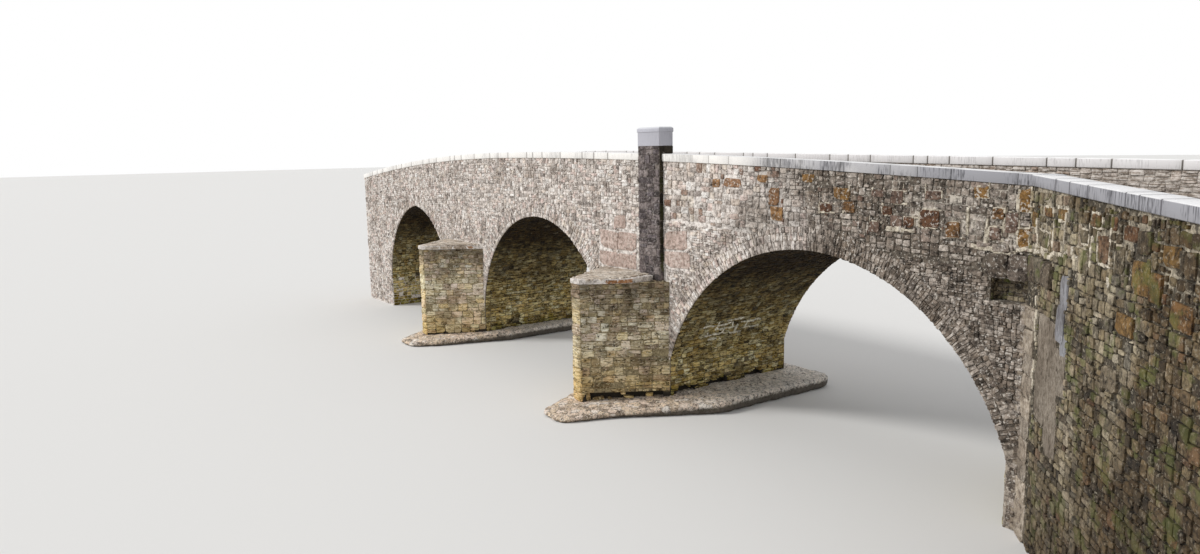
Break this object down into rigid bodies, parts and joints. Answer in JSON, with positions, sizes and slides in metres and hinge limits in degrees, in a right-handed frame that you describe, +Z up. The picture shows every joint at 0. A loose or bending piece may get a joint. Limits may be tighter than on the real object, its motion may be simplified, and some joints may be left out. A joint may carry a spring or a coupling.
{
  "type": "stone arch bridge",
  "caption": "Rubble stone road bridge with arches on river piers, pointed cutwaters, low aprons, a tall pilaster, dressed coping and splayed wing walls.",
  "frame": {"origin": "on the bed under the middle of the near river pier, on the bridge's centre line", "axes": "+X along the bridge to the right bank, -Y upstream, +Z up"},
  "size_m": [39.6765, 13.0546, 7.9633],
  "materials": {
    "rubble_stone": "rough rubble laid in lime mortar",
    "vault_stone": "thin rough stones set on edge, damp stained",
    "dressed_stone": "dressed and weathered",
    "capping_stone": "roughly squared slabs",
    "apron_stone": "water-worn",
    "road_surface": "rolled stone chippings",
    "filling": "loose rubble"
  },
  "bodies": {
    "root": {"near_apron": "apron_stone", "far_apron": "apron_stone", "near_pier": "rubble_stone", "far_pier": "rubble_stone", "left_abutment": "rubble_stone", "right_abutment": "rubble_stone", "right_vault": "vault_stone", "middle_vault": "vault_stone", "left_vault": "vault_stone", "upstream_spandrel_right": "rubble_stone", "upstream_spandrel_middle": "rubble_stone", "upstream_spandrel_left": "rubble_stone", "downstream_spandrel_right": "rubble_stone", "downstream_spandrel_middle": "rubble_stone", "downstream_spandrel_left": "rubble_stone", "rubble_filling": "filling", "roadway": "road_surface", "near_cutwater": "rubble_stone", "far_cutwater": "rubble_stone", "near_capping": "capping_stone", "far_capping": "capping_stone", "pilaster": "rubble_stone", "pilaster_cap": "dressed_stone", "upstream_parapet_left": "rubble_stone", "upstream_parapet_right": "rubble_stone", "downstream_parapet": "rubble_stone", "upstream_coping_left": "dressed_stone", "upstream_coping_right": "dressed_stone", "downstream_coping": "dressed_stone", "upstream_wing_wall": "rubble_stone", "upstream_wing_parapet": "rubble_stone", "upstream_wing_coping": "dressed_stone", "downstream_wing_wall": "rubble_stone", "downstream_wing_parapet": "rubble_stone", "downstream_wing_coping": "dressed_stone"}
  },
  "joints": []
}
